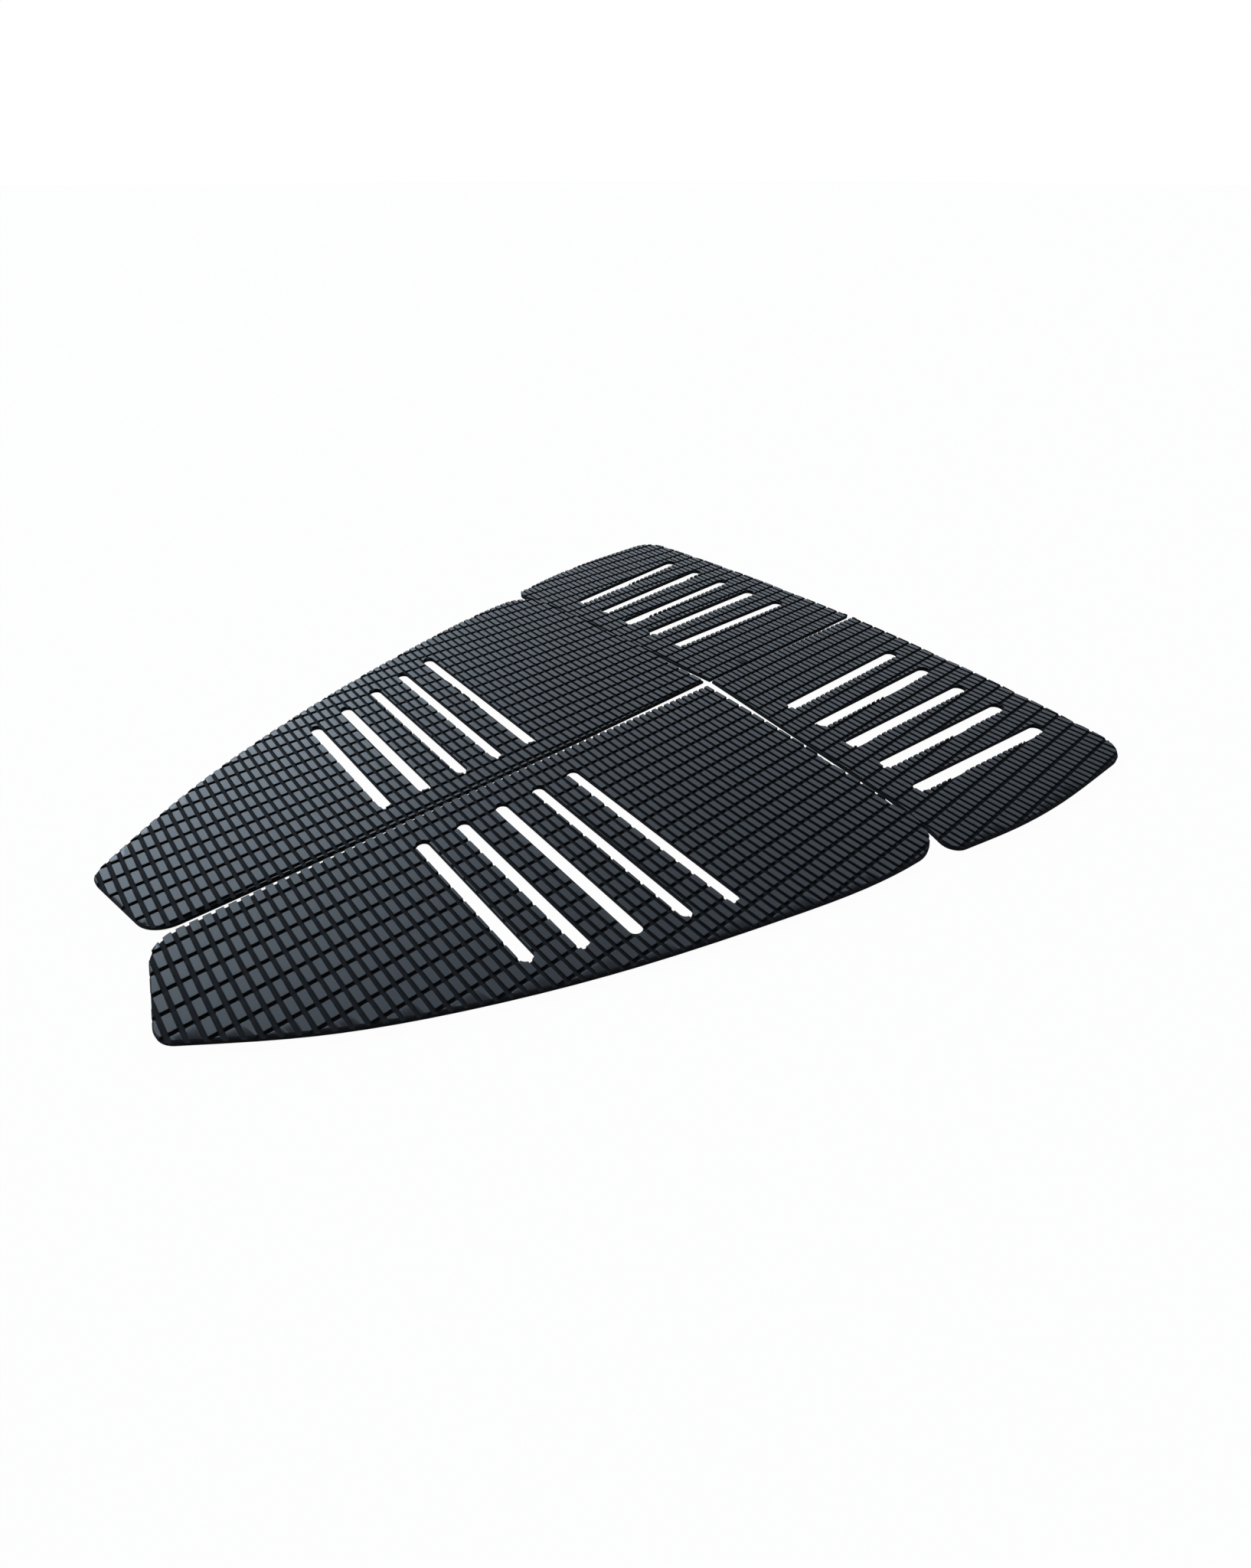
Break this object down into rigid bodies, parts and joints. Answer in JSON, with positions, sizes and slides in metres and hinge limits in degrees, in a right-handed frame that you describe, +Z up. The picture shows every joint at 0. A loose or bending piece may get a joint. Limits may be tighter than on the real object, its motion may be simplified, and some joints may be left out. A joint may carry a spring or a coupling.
{
  "type": "deck grip pad set",
  "caption": "Flat grooved foam deck grip in tapered long pads and wide short pads, each with drain slots, a bevelled rim, an adhesive film and a peel-off liner.",
  "frame": {"origin": "under the middle of the laid-out set's bounding box, on the surface that the liners rest on", "axes": "+Y along the centre seam from the tapered end to the wide end, +X to the right, +Z up away from the board"},
  "size_m": [0.3966, 0.4736, 0.0028],
  "materials": {
    "foam": "matte closed-cell EVA with a fine sanded grain",
    "adhesive": "tacky, slightly yellowed film",
    "liner": "siliconised paper, soft sheen"
  },
  "bodies": {
    "root": {"left_long_foam": "foam", "left_long_adhesive": "adhesive", "left_long_liner": "liner", "right_long_foam": "foam", "right_long_adhesive": "adhesive", "right_long_liner": "liner", "left_short_foam": "foam", "left_short_adhesive": "adhesive", "left_short_liner": "liner", "right_short_foam": "foam", "right_short_adhesive": "adhesive", "right_short_liner": "liner"}
  },
  "joints": []
}
